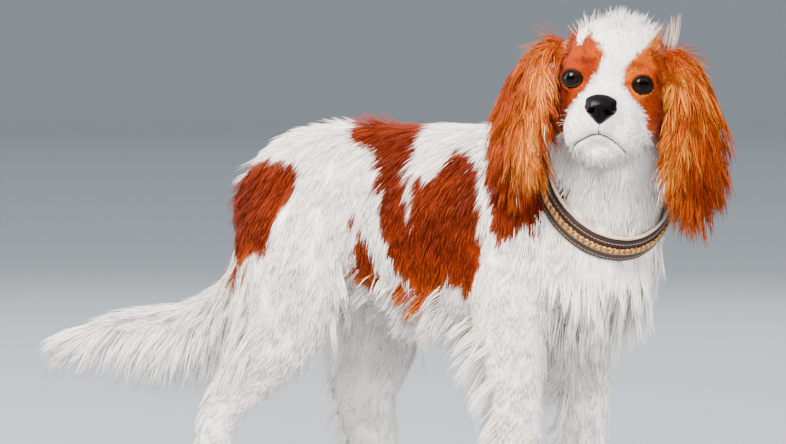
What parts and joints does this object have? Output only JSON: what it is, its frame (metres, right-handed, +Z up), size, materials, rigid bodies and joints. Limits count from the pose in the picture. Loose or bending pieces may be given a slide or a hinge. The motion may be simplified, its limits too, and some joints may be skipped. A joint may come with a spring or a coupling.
{
  "type": "standing long-coated toy spaniel figure with a collar",
  "caption": "Life-size still figure of a standing toy spaniel with long feathered ears, legs and tail, its head turned to one side, wearing a plaited leather collar.",
  "frame": {"origin": "centre of the model's box, on the floor under the paws", "axes": "+X along the spine towards the chest, +Y to the animal's left, +Z up"},
  "size_m": [0.699, 0.1955, 0.4296],
  "materials": {
    "fur_white": "white long silky fur",
    "fur_chestnut": "chestnut long silky fur",
    "eye_dark": "wet dark brown eye",
    "nose_black": "moist black nose skin",
    "leather_brown": "dark brown smooth leather",
    "leather_cream": "pale tan lining leather",
    "braid_gold": "plaited golden cord",
    "buckle_steel": "polished steel"
  },
  "bodies": {
    "root": {"head": "fur_white", "neck": "fur_white", "torso": "fur_white", "tail_base": "fur_white", "tail_plume": "fur_white", "foreleg_right": "fur_white", "foreleg_left": "fur_white", "thigh_right": "fur_white", "hock_right": "fur_white", "thigh_left": "fur_white", "hock_left": "fur_white", "forepaw_right": "fur_white", "forepaw_left": "fur_white", "hindpaw_right": "fur_white", "hindpaw_left": "fur_white", "ear_right": "fur_chestnut", "ear_left": "fur_chestnut", "eye_right": "eye_dark", "eye_left": "eye_dark", "nose": "nose_black", "collar_strap": "leather_brown", "collar_lining": "leather_cream", "collar_braid": "braid_gold", "collar_buckle": "buckle_steel"}
  },
  "joints": []
}
